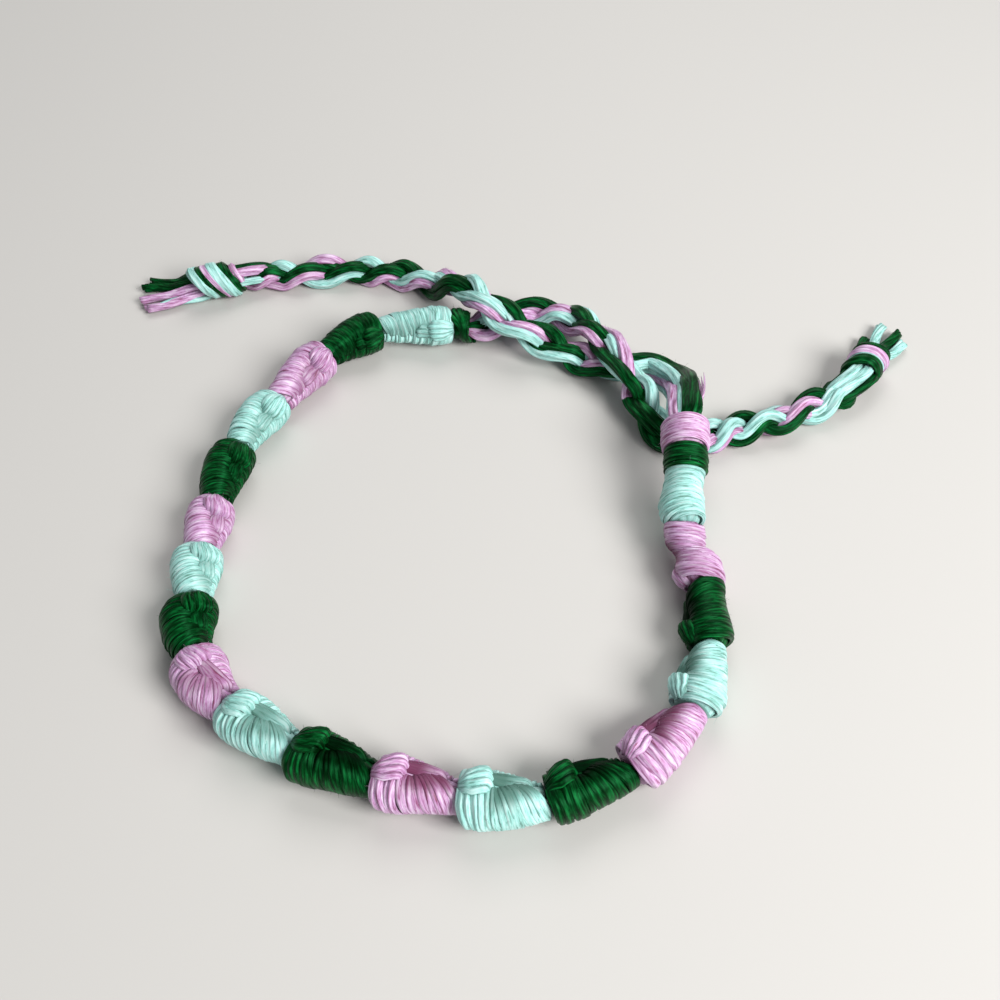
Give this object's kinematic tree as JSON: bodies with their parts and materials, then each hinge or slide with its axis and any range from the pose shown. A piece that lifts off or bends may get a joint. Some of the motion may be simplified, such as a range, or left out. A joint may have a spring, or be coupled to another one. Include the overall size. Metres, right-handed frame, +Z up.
{
  "type": "friendship bracelet",
  "caption": "Knotted floss bracelet: a ring of spiral knots in three repeating colours, with a plaited tie at each end, crossed over each other and ending in overhand knots.",
  "frame": {"origin": "middle of the wrist opening, on the surface the bracelet lies on", "axes": "+Z up, square to the ring; +X along the ties, towards the right tie's end knot; +Y from the opening towards the closure, where the ring's left end stops"},
  "size_m": [0.0997, 0.0767, 0.0091],
  "materials": {
    "mint_floss": "satin",
    "green_floss": "satin",
    "pink_floss": "satin"
  },
  "bodies": {
    "root": {"mint_run_1": "mint_floss", "green_run_2": "green_floss", "pink_run_3": "pink_floss", "mint_run_4": "mint_floss", "green_run_5": "green_floss", "pink_run_6": "pink_floss", "mint_run_7": "mint_floss", "green_run_8": "green_floss", "pink_run_9": "pink_floss", "mint_run_10": "mint_floss", "green_run_11": "green_floss", "pink_run_12": "pink_floss", "mint_run_13": "mint_floss", "green_run_14": "green_floss", "pink_run_15": "pink_floss", "mint_run_16": "mint_floss", "green_run_17": "green_floss", "pink_run_18": "pink_floss", "mint_run_19": "mint_floss", "left_end_binding": "green_floss", "right_end_binding_green": "green_floss", "right_end_binding_pink": "pink_floss", "left_tie_green_mint_strand": "green_floss", "left_tie_mint_pink_strand": "mint_floss", "left_tie_pink_green_strand": "pink_floss", "right_tie_green_mint_strand": "green_floss", "right_tie_mint_pink_strand": "mint_floss", "right_tie_pink_green_strand": "pink_floss", "left_tie_knot": "mint_floss", "right_tie_knot": "green_floss"}
  },
  "joints": []
}
